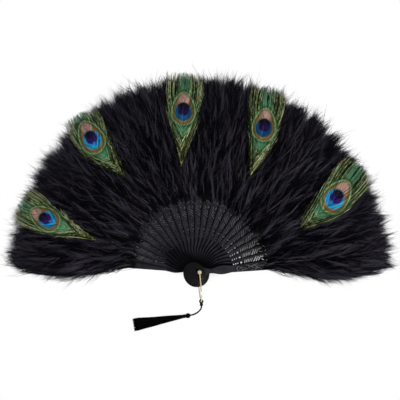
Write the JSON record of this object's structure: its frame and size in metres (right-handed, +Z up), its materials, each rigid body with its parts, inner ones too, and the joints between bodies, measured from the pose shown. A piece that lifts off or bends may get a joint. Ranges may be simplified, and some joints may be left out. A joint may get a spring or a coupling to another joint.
{
  "type": "feather fan",
  "caption": "Folding hand fan lying open, with pierced sticks on a rivet, soft plumes, peacock eye feathers, a wire bail and a tassel on a short cord.",
  "frame": {"origin": "middle of the rivet's rear face, the point that the fan turns on and rests on when it lies open", "axes": "+X to the right along the width of the open fan, +Y up the middle stick from the rivet to the plumes, +Z up from the table through the fan's front"},
  "size_m": [0.504, 0.3328, 0.0369],
  "materials": {
    "stick_plastic": "satin",
    "plume": "matte",
    "eye_feather": "satin",
    "gold_wire": "polished",
    "tassel": "satin"
  },
  "bodies": {
    "rear_guard": {"rear_guard": "stick_plastic", "rivet": "gold_wire", "plume_24": "plume"},
    "stick_23": {"stick_23": "stick_plastic", "plume_23": "plume"},
    "stick_22": {"stick_22": "stick_plastic", "plume_22": "plume", "peacock_feather_5": "eye_feather"},
    "stick_21": {"stick_21": "stick_plastic", "plume_21": "plume"},
    "stick_20": {"stick_20": "stick_plastic", "plume_20": "plume"},
    "stick_19": {"stick_19": "stick_plastic", "plume_19": "plume"},
    "stick_18": {"stick_18": "stick_plastic", "plume_18": "plume", "peacock_feather_4": "eye_feather"},
    "stick_17": {"stick_17": "stick_plastic", "plume_17": "plume"},
    "stick_16": {"stick_16": "stick_plastic", "plume_16": "plume"},
    "stick_15": {"stick_15": "stick_plastic", "plume_15": "plume"},
    "stick_14": {"stick_14": "stick_plastic", "plume_14": "plume"},
    "stick_13": {"stick_13": "stick_plastic", "plume_13": "plume", "peacock_feather_3": "eye_feather"},
    "stick_12": {"stick_12": "stick_plastic", "plume_12": "plume"},
    "stick_11": {"stick_11": "stick_plastic", "plume_11": "plume"},
    "stick_10": {"stick_10": "stick_plastic", "plume_10": "plume"},
    "stick_09": {"stick_09": "stick_plastic", "plume_09": "plume"},
    "stick_08": {"stick_08": "stick_plastic", "plume_08": "plume", "peacock_feather_2": "eye_feather"},
    "stick_07": {"stick_07": "stick_plastic", "plume_07": "plume"},
    "stick_06": {"stick_06": "stick_plastic", "plume_06": "plume"},
    "stick_05": {"stick_05": "stick_plastic", "plume_05": "plume"},
    "stick_04": {"stick_04": "stick_plastic", "plume_04": "plume"},
    "stick_03": {"stick_03": "stick_plastic", "plume_03": "plume", "peacock_feather_1": "eye_feather"},
    "stick_02": {"stick_02": "stick_plastic", "plume_02": "plume"},
    "stick_01": {"stick_01": "stick_plastic", "plume_01": "plume"},
    "front_guard": {"front_guard": "stick_plastic", "plume_00": "plume"},
    "bail": {"bail": "gold_wire"},
    "tassel": {"tassel_cord": "tassel", "tassel_head": "tassel", "tassel_skirt": "tassel"}
  },
  "joints": [
    {"name": "front_guard_fold", "type": "hinge", "parent": "rear_guard", "child": "front_guard", "pos_m": [0, 0, 0], "axis": [0.0872, 0, 0.9962], "range_deg": [0, 168], "deforming": ["plume_00", "plume_24"]},
    {"name": "stick_23_fold", "type": "hinge", "parent": "rear_guard", "child": "stick_23", "pos_m": [0, 0, 0], "axis": [0.0872, 0, 0.9962], "range_deg": [0, 7], "deforming": ["plume_23"]},
    {"name": "stick_22_fold", "type": "hinge", "parent": "rear_guard", "child": "stick_22", "pos_m": [0, 0, 0], "axis": [0.0872, 0, 0.9962], "range_deg": [0, 14], "deforming": ["plume_22", "peacock_feather_5"]},
    {"name": "stick_21_fold", "type": "hinge", "parent": "rear_guard", "child": "stick_21", "pos_m": [0, 0, 0], "axis": [0.0872, 0, 0.9962], "range_deg": [0, 21], "deforming": ["plume_21"]},
    {"name": "stick_20_fold", "type": "hinge", "parent": "rear_guard", "child": "stick_20", "pos_m": [0, 0, 0], "axis": [0.0872, 0, 0.9962], "range_deg": [0, 28], "deforming": ["plume_20"]},
    {"name": "stick_19_fold", "type": "hinge", "parent": "rear_guard", "child": "stick_19", "pos_m": [0, 0, 0], "axis": [0.0872, 0, 0.9962], "range_deg": [0, 35], "deforming": ["plume_19"]},
    {"name": "stick_18_fold", "type": "hinge", "parent": "rear_guard", "child": "stick_18", "pos_m": [0, 0, 0], "axis": [0.0872, 0, 0.9962], "range_deg": [0, 42], "deforming": ["plume_18", "peacock_feather_4"]},
    {"name": "stick_17_fold", "type": "hinge", "parent": "rear_guard", "child": "stick_17", "pos_m": [0, 0, 0], "axis": [0.0872, 0, 0.9962], "range_deg": [0, 49], "deforming": ["plume_17"]},
    {"name": "stick_16_fold", "type": "hinge", "parent": "rear_guard", "child": "stick_16", "pos_m": [0, 0, 0], "axis": [0.0872, 0, 0.9962], "range_deg": [0, 56], "deforming": ["plume_16"]},
    {"name": "stick_15_fold", "type": "hinge", "parent": "rear_guard", "child": "stick_15", "pos_m": [0, 0, 0], "axis": [0.0872, 0, 0.9962], "range_deg": [0, 63], "deforming": ["plume_15"]},
    {"name": "stick_14_fold", "type": "hinge", "parent": "rear_guard", "child": "stick_14", "pos_m": [0, 0, 0], "axis": [0.0872, 0, 0.9962], "range_deg": [0, 70], "deforming": ["plume_14"]},
    {"name": "stick_13_fold", "type": "hinge", "parent": "rear_guard", "child": "stick_13", "pos_m": [0, 0, 0], "axis": [0.0872, 0, 0.9962], "range_deg": [0, 77], "deforming": ["plume_13", "peacock_feather_3"]},
    {"name": "stick_12_fold", "type": "hinge", "parent": "rear_guard", "child": "stick_12", "pos_m": [0, 0, 0], "axis": [0.0872, 0, 0.9962], "range_deg": [0, 84], "deforming": ["plume_12"]},
    {"name": "stick_11_fold", "type": "hinge", "parent": "rear_guard", "child": "stick_11", "pos_m": [0, 0, 0], "axis": [0.0872, 0, 0.9962], "range_deg": [0, 91], "deforming": ["plume_11"]},
    {"name": "stick_10_fold", "type": "hinge", "parent": "rear_guard", "child": "stick_10", "pos_m": [0, 0, 0], "axis": [0.0872, 0, 0.9962], "range_deg": [0, 98], "deforming": ["plume_10"]},
    {"name": "stick_09_fold", "type": "hinge", "parent": "rear_guard", "child": "stick_09", "pos_m": [0, 0, 0], "axis": [0.0872, 0, 0.9962], "range_deg": [0, 105], "deforming": ["plume_09"]},
    {"name": "stick_08_fold", "type": "hinge", "parent": "rear_guard", "child": "stick_08", "pos_m": [0, 0, 0], "axis": [0.0872, 0, 0.9962], "range_deg": [0, 112], "deforming": ["plume_08", "peacock_feather_2"]},
    {"name": "stick_07_fold", "type": "hinge", "parent": "rear_guard", "child": "stick_07", "pos_m": [0, 0, 0], "axis": [0.0872, 0, 0.9962], "range_deg": [0, 119], "deforming": ["plume_07"]},
    {"name": "stick_06_fold", "type": "hinge", "parent": "rear_guard", "child": "stick_06", "pos_m": [0, 0, 0], "axis": [0.0872, 0, 0.9962], "range_deg": [0, 126], "deforming": ["plume_06"]},
    {"name": "stick_05_fold", "type": "hinge", "parent": "rear_guard", "child": "stick_05", "pos_m": [0, 0, 0], "axis": [0.0872, 0, 0.9962], "range_deg": [0, 133], "deforming": ["plume_05"]},
    {"name": "stick_04_fold", "type": "hinge", "parent": "rear_guard", "child": "stick_04", "pos_m": [0, 0, 0], "axis": [0.0872, 0, 0.9962], "range_deg": [0, 140], "deforming": ["plume_04"]},
    {"name": "stick_03_fold", "type": "hinge", "parent": "rear_guard", "child": "stick_03", "pos_m": [0, 0, 0], "axis": [0.0872, 0, 0.9962], "range_deg": [0, 147], "deforming": ["plume_03", "peacock_feather_1"]},
    {"name": "stick_02_fold", "type": "hinge", "parent": "rear_guard", "child": "stick_02", "pos_m": [0, 0, 0], "axis": [0.0872, 0, 0.9962], "range_deg": [0, 154], "deforming": ["plume_02"]},
    {"name": "stick_01_fold", "type": "hinge", "parent": "rear_guard", "child": "stick_01", "pos_m": [0, 0, 0], "axis": [0.0872, 0, 0.9962], "range_deg": [0, 161], "deforming": ["plume_01"]},
    {"name": "bail_swing", "type": "hinge", "parent": "rear_guard", "child": "bail", "pos_m": [0, 0, 0], "axis": [0.0872, 0, 0.9962], "range_deg": [-15, 25]},
    {"name": "tassel_swing", "type": "hinge", "parent": "bail", "child": "tassel", "pos_m": [0.00524, -0.03802, 0.01791], "axis": [0, 0, 1], "range_deg": [-10, 90]}
  ],
  "couplings": [
    {"joint": "stick_23_fold", "follows": "front_guard_fold", "ratio": 0.041667},
    {"joint": "stick_22_fold", "follows": "front_guard_fold", "ratio": 0.083333},
    {"joint": "stick_21_fold", "follows": "front_guard_fold", "ratio": 0.125},
    {"joint": "stick_20_fold", "follows": "front_guard_fold", "ratio": 0.16667},
    {"joint": "stick_19_fold", "follows": "front_guard_fold", "ratio": 0.20833},
    {"joint": "stick_18_fold", "follows": "front_guard_fold", "ratio": 0.25},
    {"joint": "stick_17_fold", "follows": "front_guard_fold", "ratio": 0.29167},
    {"joint": "stick_16_fold", "follows": "front_guard_fold", "ratio": 0.33333},
    {"joint": "stick_15_fold", "follows": "front_guard_fold", "ratio": 0.375},
    {"joint": "stick_14_fold", "follows": "front_guard_fold", "ratio": 0.41667},
    {"joint": "stick_13_fold", "follows": "front_guard_fold", "ratio": 0.45833},
    {"joint": "stick_12_fold", "follows": "front_guard_fold", "ratio": 0.5},
    {"joint": "stick_11_fold", "follows": "front_guard_fold", "ratio": 0.54167},
    {"joint": "stick_10_fold", "follows": "front_guard_fold", "ratio": 0.58333},
    {"joint": "stick_09_fold", "follows": "front_guard_fold", "ratio": 0.625},
    {"joint": "stick_08_fold", "follows": "front_guard_fold", "ratio": 0.66667},
    {"joint": "stick_07_fold", "follows": "front_guard_fold", "ratio": 0.70833},
    {"joint": "stick_06_fold", "follows": "front_guard_fold", "ratio": 0.75},
    {"joint": "stick_05_fold", "follows": "front_guard_fold", "ratio": 0.79167},
    {"joint": "stick_04_fold", "follows": "front_guard_fold", "ratio": 0.83333},
    {"joint": "stick_03_fold", "follows": "front_guard_fold", "ratio": 0.875},
    {"joint": "stick_02_fold", "follows": "front_guard_fold", "ratio": 0.91667},
    {"joint": "stick_01_fold", "follows": "front_guard_fold", "ratio": 0.95833}
  ]
}
